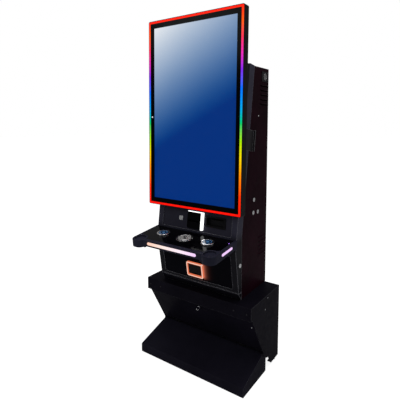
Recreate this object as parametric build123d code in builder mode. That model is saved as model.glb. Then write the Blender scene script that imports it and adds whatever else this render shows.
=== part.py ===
"""Slot machine: an upright screen on a raked steel cabinet with a button deck, standing on a low base.

Millimetres. X runs to the machine's left as it faces out (the player's right), Y runs to the back and Z up.
The origin is on the floor, under the middle of the whole machine.
"""
import os
from math import atan2, cos, degrees, hypot, radians, sin, tan

from build123d import *

os.makedirs("parts", exist_ok=True)

# ---------------------------------------------------------------- driving dimensions
SHEET = 3.0             # steel sheet of the cabinet and the doors
REAR_Y = 291.0          # back of the cabinet
SEAM_Y = -6.0           # where the doors meet the cabinet, below the rake
RAKE = 7.8              # the upper front leans back by this many degrees
RAKE_Z = 790.0          # height where the rake starts
SEAM_GAP = 1.5          # air between the cabinet's edge and the doors

STAND_W = 700.0
STAND_TOP = 439.0
STAND_FRONT = -66.0
STAND_REAR = 284.0
STAND_SHEET = 4.0
LIP_DROP = 70.0         # the stand top's front lip
BROW = (-42.0, 362.0)   # where the slanted front starts, under the lip
WAIST = (88.0, 125.0)   # where it ends, above the foot box
FOOT_FRONT = -134.0
FOOT_REAR = 126.0
FOOT_H = 49.0
LEG_Z = 14.0            # the rear legs stop here and stand on screw feet

CAB_W = 517.0
CAB_TOP = 1667.0
DOOR_W = 524.0
MAIN_T = 56.0           # thickness of the main door above the deck
UPPER_T = 52.0          # thickness of the screen door
MAIN_TOP_V = 105.0      # top of the main door, measured up the rake
UPPER_V = (108.0, 885.0)
DOOR_FOOT_Z = 486.0
BELLY_FOOT_Y = -37.0    # belly panel: its foot, and its top under the deck
BELLY_TOP = (-72.8, 715.0)
HINGE_X = -268.0        # hinge line, outside the cabinet's blind side
PIN_R = 3.0
KNUCKLE_R = 6.0

MON_W = 603.0
MON_H = 1022.0
MON_T = 48.0
MON_FOOT = (-94.0, 907.0)
MON_LEAN = 1.0
ACTIVE = (529.4, 941.2)  # picture area of a 43 inch upright panel
MON_RIM = 3.0
LED_W = 11.0

DECK_Y = -64.0
DECK_Z = 777.0
DECK_SLOPE = 6.0
DECK_HALF = 266.0
DECK_T = 41.0
FASCIA = -211.0         # the deck's front face between its two rounded horns
HORN_FRONT = -230.0
HORN_IN = 186.0
HORN_R = 34.0
BUTTON_AT = (145.0, -90.5)
CUP_AT = (0.0, -91.0)
COASTER_AT = (224.0, -190.0)
BUTTON_TRAVEL = 4.0

LOCK_R = 11.0
PLUG_R = 6.0
VENT_Y = 238.0
VENT_ZS = (1521.0, 674.0)
FAN_AT = (242.0, 1621.0)
CABLE_WAY = (-150.0, 140.0)   # hole that joins the stand and the cabinet


# ---------------------------------------------------------------- shared frames
def leaning(y, z, lean):
    """Plane facing the player through (0, y, z), its top leaning back by lean degrees."""
    a = radians(lean)
    return Plane(origin=(0, y, z), x_dir=(1, 0, 0), z_dir=(0, -cos(a), sin(a)))


def seam(z):
    """Y of the cabinet's front edge at height z."""
    return SEAM_Y + max(0.0, z - RAKE_Z) * tan(radians(RAKE))


def on_door(v, n):
    """(y, z) of a point v up the rake and n out of the seam plane."""
    a = radians(RAKE)
    return (SEAM_Y + v * sin(a) - n * cos(a), RAKE_Z + v * cos(a) + n * sin(a))


BELLY_LEAN = -degrees(atan2(BELLY_FOOT_Y - BELLY_TOP[0], BELLY_TOP[1] - DOOR_FOOT_Z))
BELLY_LEN = hypot(BELLY_FOOT_Y - BELLY_TOP[0], BELLY_TOP[1] - DOOR_FOOT_Z)
FLAP_LEAN = -degrees(atan2(WAIST[0] - BROW[0], BROW[1] - WAIST[1]))
FLAP_LEN = hypot(WAIST[0] - BROW[0], BROW[1] - WAIST[1])


def on_belly(u, n):
    """(y, z) of a point u up the belly panel and n out of its face."""
    a = radians(BELLY_LEAN)
    return (BELLY_FOOT_Y + u * sin(a) - n * cos(a), DOOR_FOOT_Z + u * cos(a) + n * sin(a))


DOOR = leaning(SEAM_Y, RAKE_Z, RAKE)
MON = leaning(MON_FOOT[0], MON_FOOT[1], MON_LEAN)
BELLY = leaning(BELLY_FOOT_Y, DOOR_FOOT_Z, BELLY_LEAN)
FLAP = leaning(WAIST[0], WAIST[1], FLAP_LEAN)
DECK = Plane(
    origin=(0, DECK_Y, DECK_Z),
    x_dir=(1, 0, 0),
    z_dir=(0, -sin(radians(DECK_SLOPE)), cos(radians(DECK_SLOPE))),
)
SIDE = Plane.YZ


def up_axis(plane, u, n, x):
    """Plane at (x, u, n) of a leaning plane, its normal running up that plane."""
    origin = plane.from_local_coords(Vector(x, u, n))
    return Plane(origin=origin, x_dir=(1, 0, 0), z_dir=plane.y_dir)


def along_x(plane, u, n, x):
    """Plane at (x, u, n) of a leaning plane, its normal running along +X."""
    origin = plane.from_local_coords(Vector(x, u, n))
    return Plane(origin=origin, x_dir=plane.y_dir, z_dir=(1, 0, 0))


# ---------------------------------------------------------------- stand
def stand_side(x):
    """Outline of one stand side from x inwards, with a return flange along its edges."""
    rim = STAND_FRONT + SHEET
    with BuildSketch(SIDE.offset(x)) as outline:
        with BuildLine():
            Polyline(
                (rim, STAND_TOP - SHEET),
                (rim, STAND_TOP - LIP_DROP + SHEET),
                (BROW[0] - 2, BROW[1] + 2),
                WAIST,
                (WAIST[0] + 4, 98),
                (FOOT_REAR + 2, 76),
                (FOOT_REAR + 22, 72),
                (188, LEG_Z),
                (STAND_REAR, LEG_Z),
                (STAND_REAR, STAND_TOP - SHEET),
                close=True,
            )
        make_face()
    extrude(outline.sketch, amount=STAND_SHEET)


with BuildPart() as stand_side_left:
    stand_side(-STAND_W / 2)
    with Locations((-STAND_W / 2 + 14, STAND_REAR - 2, (LEG_Z + STAND_TOP - SHEET) / 2)):
        Box(20, 4, STAND_TOP - SHEET - LEG_Z)
    with Locations((-STAND_W / 2 + 14, 236, LEG_Z + 2)):
        Box(20, 92, 4)
stand_side_left.part.label = "stand_side_left"
export_step(stand_side_left.part, "parts/stand_side_left.step")

with BuildPart() as stand_side_right:
    stand_side(STAND_W / 2 - STAND_SHEET)
    with Locations((STAND_W / 2 - 14, STAND_REAR - 2, (LEG_Z + STAND_TOP - SHEET) / 2)):
        Box(20, 4, STAND_TOP - SHEET - LEG_Z)
    with Locations((STAND_W / 2 - 14, 236, LEG_Z + 2)):
        Box(20, 92, 4)
stand_side_right.part.label = "stand_side_right"
export_step(stand_side_right.part, "parts/stand_side_right.step")

# A folded sheet: the flat the cabinet stands on, its front lip, and a short return under the lip.
with BuildPart() as stand_top:
    with BuildSketch(SIDE.offset(-STAND_W / 2)):
        with BuildLine():
            Polyline(
                (STAND_FRONT, STAND_TOP),
                (STAND_REAR, STAND_TOP),
                (STAND_REAR, STAND_TOP - SHEET),
                (STAND_FRONT + SHEET, STAND_TOP - SHEET),
                (STAND_FRONT + SHEET, STAND_TOP - LIP_DROP),
                (STAND_FRONT, STAND_TOP - LIP_DROP),
                close=True,
            )
        make_face()
    extrude(amount=STAND_W)
    with BuildSketch(SIDE.offset(-STAND_W / 2 + STAND_SHEET + 0.5)):
        with BuildLine():
            Polyline(
                (STAND_FRONT + SHEET - 0.5, STAND_TOP - LIP_DROP),
                (BROW[0] + 2, BROW[1] + 6),
                (BROW[0] + 2, BROW[1] + 9),
                (STAND_FRONT + SHEET - 0.5, STAND_TOP - LIP_DROP + SHEET),
                close=True,
            )
        make_face()
    extrude(amount=STAND_W - 2 * STAND_SHEET - 1)
    with BuildSketch(Plane.XY.offset(STAND_TOP)):
        with Locations(CABLE_WAY):
            Rectangle(140, 120)
    extrude(amount=-SHEET, mode=Mode.SUBTRACT)
    front_edges = stand_top.edges().filter_by(Axis.X).group_by(Axis.Y)[0]
    fillet(front_edges.sort_by(Axis.Z)[-1:], radius=2)
stand_top.part.label = "stand_top"
export_step(stand_top.part, "parts/stand_top.step")

with BuildPart() as stand_back:
    with BuildSketch(Plane.XZ.offset(-STAND_REAR + 4)):
        with Locations((0, (STAND_TOP - SHEET + 40) / 2)):
            Rectangle(STAND_W - 50, STAND_TOP - SHEET - 40)
        with Locations((0, 330)):
            with GridLocations(1, 14, 1, 5):
                SlotOverall(220, 6, mode=Mode.SUBTRACT)
        with Locations((190, 90)):
            RectangleRounded(44, 36, 6, mode=Mode.SUBTRACT)
    extrude(amount=SHEET)
stand_back.part.label = "stand_back"
export_step(stand_back.part, "parts/stand_back.step")

# The foot box: floor, sides, back wall and the sloped tread with its low front lip.
FOOT_OUT = STAND_W / 2 - STAND_SHEET - 0.5
with BuildPart() as foot_box:
    with BuildSketch(SIDE.offset(-FOOT_OUT)):
        with BuildLine():
            foot_line = Polyline(
                (FOOT_FRONT, 0),
                (FOOT_FRONT, FOOT_H),
                (WAIST[0] - 3, WAIST[1] - 9),
                (FOOT_REAR, WAIST[1] - 9),
                (FOOT_REAR, 0),
                close=True,
            )
        make_face()
    extrude(amount=2 * FOOT_OUT)
    with BuildSketch(SIDE.offset(-FOOT_OUT + SHEET)):
        with BuildLine():
            Polyline(
                (FOOT_FRONT + SHEET, SHEET),
                (FOOT_FRONT + SHEET, FOOT_H - SHEET),
                (WAIST[0] - 3, WAIST[1] - 9 - SHEET - 0.2),
                (FOOT_REAR - SHEET, WAIST[1] - 9 - SHEET - 0.2),
                (FOOT_REAR - SHEET, SHEET),
                close=True,
            )
        make_face()
    extrude(amount=2 * (FOOT_OUT - SHEET), mode=Mode.SUBTRACT)
    tread_edge = foot_box.edges().filter_by(Axis.X).sort_by_distance((0, FOOT_FRONT, FOOT_H))[0]
    fillet(tread_edge, radius=3)
foot_box.part.label = "foot_box"
export_step(foot_box.part, "parts/foot_box.step")

# Screw feet under the two rear legs: a pad, a stem and a lock nut each, as separate solids.
with BuildPart() as levelling_feet:
    with Locations((-STAND_W / 2 + 16, 250, 0), (STAND_W / 2 - 16, 250, 0)):
        Cylinder(11, 5, align=(Align.CENTER, Align.CENTER, Align.MIN))
        Cylinder(4, LEG_Z - 0.1, align=(Align.CENTER, Align.CENTER, Align.MIN))
        with Locations((0, 0, LEG_Z - 6)):
            Cylinder(7, 5.9, align=(Align.CENTER, Align.CENTER, Align.MIN))
levelling_feet.part.label = "levelling_feet"
export_step(levelling_feet.part, "parts/levelling_feet.step")


# ---------------------------------------------------------------- hinges
def knuckle(plane, length):
    """One hinge barrel along a plane's normal, bored to run on the pin."""
    with BuildSketch(plane) as barrel:
        Circle(KNUCKLE_R)
        Circle(PIN_R + 0.06, mode=Mode.SUBTRACT)
    extrude(barrel.sketch, amount=length)


def hinge_post(plane, length, pin):
    """The fixed barrel of a hinge with its pin standing out of one end."""
    with BuildSketch(plane) as barrel:
        Circle(KNUCKLE_R)
    extrude(barrel.sketch, amount=length)
    with BuildSketch(plane) as core:
        Circle(PIN_R)
    extrude(core.sketch, amount=length + pin)


MAIN_HINGE_ZS = (510.0, 760.0)
UPPER_HINGE_VS = (150.0, 470.0, 790.0)
FLAP_HINGE_XS = (-260.0, 200.0)
FLAP_HINGE_N = -7.0
FLAP_HINGE_U = 6.0

main_hinge = Plane(origin=(HINGE_X, SEAM_Y, 0), x_dir=(1, 0, 0), z_dir=(0, 0, 1))

# Fixed hinge barrels with their pins: two for the main door, three for the screen door, two for the stand's flap.
with BuildPart() as hinge_posts:
    for z in MAIN_HINGE_ZS:
        hinge_post(main_hinge.offset(z), 30, 28)
        with Locations((HINGE_X + 5.25, SEAM_Y + 12, z + 15)):
            Box(8.5, 24, 30)
    for v in UPPER_HINGE_VS:
        hinge_post(up_axis(DOOR, v, 0, HINGE_X), 30, 28)
        with BuildSketch(up_axis(DOOR, v, 0, HINGE_X)):
            with Locations((5.25, 12)):
                Rectangle(8.5, 24)
        extrude(amount=30)
    for x in FLAP_HINGE_XS:
        hinge_post(along_x(FLAP, FLAP_HINGE_U, FLAP_HINGE_N, x), 30, 28)
        with Locations((x + 15, WAIST[0] + 9.5, WAIST[1] - 1.5)):
            Box(30, 10, 15)
hinge_posts.part.label = "hinge_posts"
export_step(hinge_posts.part, "parts/hinge_posts.step")

# The stand's front: a shallow folded pan that drops forward from its lower edge.
FLAP_HALF = STAND_W / 2 - STAND_SHEET - 1.5
FLAP_T = 16.0
FLAP_LONG = 258.0
FLAP_MID = 9 + FLAP_LONG / 2
STAND_LOCK_X = 5.0
STAND_LOCK_U = FLAP_LEN - 26.5
with BuildPart() as stand_door:
    with BuildSketch(FLAP):
        with Locations((0, FLAP_MID)):
            RectangleRounded(2 * FLAP_HALF, FLAP_LONG, 3)
    extrude(amount=-FLAP_T)
    with BuildSketch(FLAP.offset(-SHEET)):
        with Locations((0, FLAP_MID)):
            Rectangle(2 * (FLAP_HALF - SHEET), FLAP_LONG - 2 * SHEET)
    extrude(amount=-FLAP_T, mode=Mode.SUBTRACT)
    # lock hole and the shallow finger slot beside it
    with BuildSketch(FLAP):
        with Locations((STAND_LOCK_X, STAND_LOCK_U)):
            Circle(9.8)
        with Locations((32, STAND_LOCK_U - 16)):
            SlotOverall(34, 5)
    extrude(amount=-SHEET, mode=Mode.SUBTRACT)
    # clearance notches in the lower fold for the fixed barrels
    for x in FLAP_HINGE_XS:
        with BuildSketch(along_x(FLAP, FLAP_HINGE_U, FLAP_HINGE_N, x - 1)):
            with Locations((-2, -6)):
                Rectangle(24, 24)
        extrude(amount=32.0, mode=Mode.SUBTRACT)
        knuckle(along_x(FLAP, FLAP_HINGE_U, FLAP_HINGE_N, x + 31.5), 26)
    with BuildSketch(FLAP.offset(-SHEET)):
        for x in FLAP_HINGE_XS:
            with Locations((x + 44.5, 12.0)):
                Rectangle(24, 6)
    extrude(amount=-4)
stand_door.part.label = "stand_door"
export_step(stand_door.part, "parts/stand_door.step")


# ---------------------------------------------------------------- locks
def lock_body(plane, proud, deep):
    """Outer barrel of a cam lock: a domed ring on the face and a threaded barrel behind it."""
    with BuildSketch(plane) as ring:
        Circle(LOCK_R)
        Circle(PLUG_R + 0.06, mode=Mode.SUBTRACT)
    extrude(ring.sketch, amount=proud)
    with BuildSketch(plane) as barrel:
        Circle(9.5)
        Circle(PLUG_R + 0.06, mode=Mode.SUBTRACT)
    extrude(barrel.sketch, amount=-deep)


def lock_plug(plane, proud, deep, cam):
    """The turning plug of a cam lock with its key slot, and the cam on its inner end."""
    with BuildSketch(plane.offset(proud)) as core:
        Circle(PLUG_R)
    extrude(core.sketch, amount=-(proud + deep + 1))
    with BuildSketch(plane.offset(proud)) as keyway:
        Rectangle(1.6, 8.4)
    extrude(keyway.sketch, amount=-12, mode=Mode.SUBTRACT)
    with BuildSketch(plane.offset(-deep - 1)) as tail:
        Circle(PLUG_R + 1)
        with Locations(((cam - 6) / 2, 0)):
            Rectangle(cam - 6, 2 * PLUG_R)
        with Locations((cam - 6, 0)):
            Circle(PLUG_R)
    extrude(tail.sketch, amount=-3)


STAND_LOCK = Plane(
    origin=FLAP.from_local_coords(Vector(STAND_LOCK_X, STAND_LOCK_U, 0)),
    x_dir=(1, 0, 0),
    z_dir=FLAP.z_dir,
)
with BuildPart() as stand_lock_body:
    lock_body(STAND_LOCK, 5, 20)
stand_lock_body.part.label = "stand_lock_body"
export_step(stand_lock_body.part, "parts/stand_lock_body.step")

with BuildPart() as stand_lock_plug:
    lock_plug(STAND_LOCK, 5.6, 20, 20)
stand_lock_plug.part.label = "stand_lock_plug"
export_step(stand_lock_plug.part, "parts/stand_lock_plug.step")

# Key standing in the stand lock: blade and a round bow with its ring hole.
with BuildPart() as stand_key:
    with BuildSketch(Plane(STAND_LOCK.from_local_coords(Vector(-0.5, 0, 0)), x_dir=FLAP.y_dir, z_dir=(1, 0, 0))):
        with Locations((0, -0.2)):
            Rectangle(7.6, 12.4)
    extrude(amount=1.0)
    with BuildSketch(Plane(STAND_LOCK.from_local_coords(Vector(-1.0, 0, 0)), x_dir=FLAP.y_dir, z_dir=(1, 0, 0))):
        with Locations((0, 16.5)):
            RectangleRounded(20, 21, 6)
        with Locations((-5, 20.5)):
            Circle(3.2, mode=Mode.SUBTRACT)
    extrude(amount=2.0)
stand_key.part.label = "stand_key"
export_step(stand_key.part, "parts/stand_key.step")


# ---------------------------------------------------------------- cabinet
def cabinet_outline():
    """Side view of the rear box."""
    with BuildLine() as outline:
        Polyline(
            (SEAM_Y, STAND_TOP),
            (REAR_Y, STAND_TOP),
            (REAR_Y, CAB_TOP),
            (seam(CAB_TOP), CAB_TOP),
            (SEAM_Y, RAKE_Z),
            close=True,
        )
    make_face(outline.edges())


def vents():
    """Two banks of five slots near the rear edge."""
    with Locations(*[(VENT_Y, z) for z in VENT_ZS]):
        with GridLocations(1, 25, 1, 5):
            SlotOverall(92, 9, mode=Mode.SUBTRACT)


def vent_hoods(x, out):
    """A folded hood over the upper half of each vent slot."""
    for zc in VENT_ZS:
        for k in range(5):
            z = zc + (k - 2) * 25
            with BuildSketch(Plane.XZ.offset(-VENT_Y + 44)) as hood:
                with BuildLine():
                    Polyline((x, z + 8), (x + out * 5, z + 1.5), (x + out * 5, z + 0.3), (x, z + 5.5), close=True)
                make_face()
            extrude(hood.sketch, amount=-88)


LOCK_SPOTS = ((117.0, 957.0), (111.0, 887.0), (164.0, 883.0))
with BuildPart() as cabinet_side_right:
    with BuildSketch(SIDE.offset(CAB_W / 2 - SHEET)):
        cabinet_outline()
        vents()
        with Locations(FAN_AT):
            Circle(19, mode=Mode.SUBTRACT)
        with Locations(*LOCK_SPOTS):
            Circle(9.8, mode=Mode.SUBTRACT)
    extrude(amount=SHEET)
    vent_hoods(CAB_W / 2, 1)
cabinet_side_right.part.label = "cabinet_side_right"
export_step(cabinet_side_right.part, "parts/cabinet_side_right.step")

with BuildPart() as cabinet_side_left:
    with BuildSketch(SIDE.offset(-CAB_W / 2)):
        cabinet_outline()
        vents()
    extrude(amount=SHEET)
    vent_hoods(-CAB_W / 2, -1)
cabinet_side_left.part.label = "cabinet_side_left"
export_step(cabinet_side_left.part, "parts/cabinet_side_left.step")

INNER_W = CAB_W - 2 * SHEET
# Back and top are one folded sheet.
with BuildPart() as cabinet_back:
    with Locations((0, REAR_Y - SHEET / 2, (STAND_TOP + CAB_TOP) / 2)):
        Box(INNER_W, SHEET, CAB_TOP - STAND_TOP)
    top_front = seam(CAB_TOP) + 2
    with Locations((0, (REAR_Y + top_front) / 2, CAB_TOP - SHEET / 2)):
        Box(INNER_W, REAR_Y - top_front, SHEET)
    with BuildSketch(Plane.XZ.offset(-REAR_Y)):
        with Locations((0, 1480), (0, 1180)):
            with GridLocations(1, 16, 1, 8):
                SlotOverall(260, 7)
        with Locations((-150, 520)):
            Rectangle(27.4, 47.4)
    extrude(amount=SHEET, mode=Mode.SUBTRACT)
cabinet_back.part.label = "cabinet_back"
export_step(cabinet_back.part, "parts/cabinet_back.step")

# Base tray with the folded plinth that fills the gap under the main door.
with BuildPart() as cabinet_base:
    with Locations((0, (SEAM_Y + REAR_Y - SHEET) / 2, STAND_TOP + SHEET / 2)):
        Box(INNER_W, REAR_Y - SHEET - SEAM_Y, SHEET)
    with BuildSketch(SIDE.offset(-DOOR_W / 2)):
        with BuildLine():
            Polyline(
                (SEAM_Y - 0.5, STAND_TOP),
                (SEAM_Y - 3.5, STAND_TOP),
                (BELLY_FOOT_Y + 1, DOOR_FOOT_Z - 6),
                (BELLY_FOOT_Y + 1, DOOR_FOOT_Z - 3),
                (SEAM_Y - 0.5, DOOR_FOOT_Z - 3),
                close=True,
            )
        make_face()
        offset(amount=-SHEET, kind=Kind.INTERSECTION, mode=Mode.SUBTRACT)
    extrude(amount=DOOR_W)
    with Locations((0, SEAM_Y - 0.4, STAND_TOP + SHEET / 2)):
        Box(INNER_W, 2, SHEET)
    with Locations((CABLE_WAY[0], CABLE_WAY[1], STAND_TOP)):
        Box(140, 120, 20, mode=Mode.SUBTRACT)
cabinet_base.part.label = "cabinet_base"
export_step(cabinet_base.part, "parts/cabinet_base.step")

SHELF_Z = 790.0
with BuildPart() as equipment_shelf:
    with Locations((0, 146, SHELF_Z - SHEET / 2)):
        Box(INNER_W - 1, 282, SHEET)
    with Locations((0, 6.5, SHELF_Z - 12)):
        Box(INNER_W - 1, SHEET, 24)
equipment_shelf.part.label = "equipment_shelf"
export_step(equipment_shelf.part, "parts/equipment_shelf.step")

with BuildPart() as game_computer:
    with Locations((100, 170, STAND_TOP + SHEET + 75)):
        Box(270, 200, 150)
    fillet(game_computer.edges().filter_by(Axis.Z), radius=4)
    with BuildSketch(Plane.XZ.offset(-70)):
        with Locations((100, STAND_TOP + SHEET + 75)):
            with GridLocations(14, 14, 16, 7):
                Circle(3.5)
    extrude(amount=-3, mode=Mode.SUBTRACT)
game_computer.part.label = "game_computer"
export_step(game_computer.part, "parts/game_computer.step")

# Mains inlet set flush in the back sheet, its flange behind the sheet: the socket below, the rocker's pocket above.
INLET_X = -150.0
ROCKER_Z = 533.0
ROCKER_TILT = radians(9)
with BuildPart() as power_inlet:
    with Locations((INLET_X, REAR_Y - SHEET - 0.85, 520)):
        Box(38, 1.5, 60)
    with Locations((INLET_X, REAR_Y - 15, 520)):
        Box(27, 30, 47)
    with Locations((INLET_X, REAR_Y - 8, 510)):
        Box(22, 16, 15, mode=Mode.SUBTRACT)
    with Locations((INLET_X, REAR_Y - 7, ROCKER_Z)):
        Box(15, 14, 16, mode=Mode.SUBTRACT)
    with BuildSketch(Plane.XZ.offset(-REAR_Y + 17)):
        with Locations((INLET_X, 512)):
            with Locations((-5, -1), (5, -1), (0, 3)):
                Rectangle(1.6, 4)
    extrude(amount=-14)
    with BuildSketch(SIDE.offset(INLET_X - 9)):
        with Locations((REAR_Y - 5, ROCKER_Z)):
            Circle(1.6)
    extrude(amount=18, mode=Mode.SUBTRACT)
power_inlet.part.label = "power_inlet"
export_step(power_inlet.part, "parts/power_inlet.step")

# The rocker rests with its upper half pressed in, on two stub pins.
rocker_face = Plane(
    origin=(INLET_X - 7, REAR_Y - 5, ROCKER_Z),
    x_dir=(0, cos(ROCKER_TILT), sin(ROCKER_TILT)),
    z_dir=(1, 0, 0),
)
with BuildPart() as power_rocker:
    with BuildSketch(rocker_face):
        with BuildLine():
            Polyline((-4, -6.6), (3.4, -6.9), (2.0, 0), (3.4, 6.9), (-4, 6.6), close=True)
        make_face()
    extrude(amount=14)
    with BuildSketch(rocker_face.offset(-1.7)):
        Circle(1.5)
    extrude(amount=17.4)
power_rocker.part.label = "power_rocker"
export_step(power_rocker.part, "parts/power_rocker.step")

with BuildPart() as bill_validator:
    with Locations((0, 90, SHELF_Z + 55)):
        Box(106, 130, 108)
    with Locations((-3, 40, SHELF_Z + 48)):
        Box(82, 60, 8, mode=Mode.SUBTRACT)
bill_validator.part.label = "bill_validator"
export_step(bill_validator.part, "parts/bill_validator.step")

with BuildPart() as cash_box:
    with Locations((0, 112, SHELF_Z + 110 + 130)):
        Box(100, 92, 258)
    fillet(cash_box.edges().filter_by(Axis.Z), radius=5)
    # bow handle on its front, with room for the fingers behind the grip
    with Locations((0, 56, SHELF_Z + 330)):
        Box(60, 20, 10)
    with Locations((0, 59, SHELF_Z + 330)):
        Box(44, 14, 12, mode=Mode.SUBTRACT)
cash_box.part.label = "cash_box"
export_step(cash_box.part, "parts/cash_box.step")

with BuildPart() as ticket_printer:
    with Locations((134, 110, SHELF_Z + 47)):
        Box(110, 180, 92)
    with Locations((128, 30, SHELF_Z + 66)):
        Box(78, 50, 8, mode=Mode.SUBTRACT)
ticket_printer.part.label = "ticket_printer"
export_step(ticket_printer.part, "parts/ticket_printer.step")

# Two loudspeakers behind the lower vents: a cone basket on a square flange each.
with BuildPart() as speakers:
    for sx in (-1, 1):
        face = Plane(origin=(sx * (INNER_W / 2 - 1), VENT_Y - 8, 674), x_dir=(0, 1, 0), z_dir=(-sx, 0, 0))
        with BuildSketch(face):
            RectangleRounded(84, 118, 8)
            Circle(36, mode=Mode.SUBTRACT)
        extrude(amount=3)
        with BuildSketch(face):
            Circle(40)
            Circle(36, mode=Mode.SUBTRACT)
        extrude(amount=10)
        with BuildSketch(face.offset(10)):
            Circle(40)
        extrude(amount=26, taper=28)
        with BuildSketch(face.offset(36)):
            Circle(24)
        extrude(amount=14)
speakers.part.label = "speakers"
export_step(speakers.part, "parts/speakers.step")

# Small exhaust fan on its rectangular plate: the plate with its wire guard, the frame inside and the rotor.
FAN = Plane(origin=(CAB_W / 2, FAN_AT[0], FAN_AT[1]), x_dir=(0, 1, 0), z_dir=(1, 0, 0))
with BuildPart() as fan_guard:
    with BuildSketch(FAN):
        RectangleRounded(80, 54, 6)
        Circle(18.6, mode=Mode.SUBTRACT)
        with GridLocations(68, 42, 2, 2):
            Circle(2.2, mode=Mode.SUBTRACT)
    extrude(amount=2)
    for r in (5, 10.5, 16):
        with BuildSketch(FAN.offset(2.2)):
            Circle(r + 1.0)
            Circle(r - 1.0, mode=Mode.SUBTRACT)
        extrude(amount=1.8)
    with BuildSketch(FAN.offset(0.6)):
        with PolarLocations(0, 4):
            Rectangle(38.6, 1.8)
        Circle(4.5, mode=Mode.SUBTRACT)
    extrude(amount=2.2)
fan_guard.part.label = "fan_guard"
export_step(fan_guard.part, "parts/fan_guard.step")

with BuildPart() as fan_frame:
    with BuildSketch(FAN.offset(-SHEET)):
        RectangleRounded(40, 40, 3)
        Circle(18.6, mode=Mode.SUBTRACT)
    extrude(amount=-18)
    with BuildSketch(FAN.offset(-SHEET - 16)):
        Rectangle(39, 3)
        Rectangle(3, 39)
        Circle(8)
    extrude(amount=-2)
    with BuildSketch(FAN.offset(-SHEET - 18)):
        Circle(1.5)
    extrude(amount=12)
fan_frame.part.label = "fan_frame"
export_step(fan_frame.part, "parts/fan_frame.step")

with BuildPart() as fan_rotor:
    with BuildSketch(FAN.offset(-SHEET - 4)):
        Circle(8)
    extrude(amount=-11)
    with BuildSketch(FAN.offset(-SHEET - 15)):
        Circle(1.55)
    extrude(amount=9.5, mode=Mode.SUBTRACT)
    for k in range(7):
        with BuildSketch(FAN.offset(-SHEET - 14)):
            with PolarLocations(0, 1, start_angle=k * 360 / 7):
                with Locations((12.4, 0)):
                    Rectangle(10, 5.4, rotation=24)
        extrude(amount=9)
fan_rotor.part.label = "fan_rotor"
export_step(fan_rotor.part, "parts/fan_rotor.step")

# Pan-head screws: four on the fan plate and two near each end of the stand's lip.
with BuildPart() as cover_screws:
    with BuildSketch(FAN.offset(2)):
        with GridLocations(68, 42, 2, 2):
            Circle(4.2)
    extrude(amount=2.4)
    with BuildSketch(FAN.offset(2)):
        with GridLocations(68, 42, 2, 2):
            Circle(2.0)
    extrude(amount=-1.9)
    with BuildSketch(Plane.XZ.offset(-STAND_FRONT)):
        with Locations((-325, 403), (-248, 403), (248, 403), (325, 403)):
            Circle(4)
    extrude(amount=1.6)
cover_screws.part.label = "cover_screws"
export_step(cover_screws.part, "parts/cover_screws.step")

# Three cam locks on the cabinet's right side, standing proud of the sheet.
side_locks = [Plane(origin=(CAB_W / 2, y, z), x_dir=(0, 0, 1), z_dir=(1, 0, 0)) for y, z in LOCK_SPOTS]
with BuildPart() as side_lock_bodies:
    for spot in side_locks:
        lock_body(spot, 8, 22)
side_lock_bodies.part.label = "side_lock_bodies"
export_step(side_lock_bodies.part, "parts/side_lock_bodies.step")

with BuildPart() as screen_door_plug:
    lock_plug(side_locks[0], 8.6, 22, 22)
screen_door_plug.part.label = "screen_door_plug"
export_step(screen_door_plug.part, "parts/screen_door_plug.step")

with BuildPart() as main_door_plug:
    lock_plug(side_locks[1], 8.6, 22, 22)
main_door_plug.part.label = "main_door_plug"
export_step(main_door_plug.part, "parts/main_door_plug.step")

with BuildPart() as service_plug:
    lock_plug(side_locks[2], 8.6, 22, 22)
service_plug.part.label = "service_plug"
export_step(service_plug.part, "parts/service_plug.step")

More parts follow.
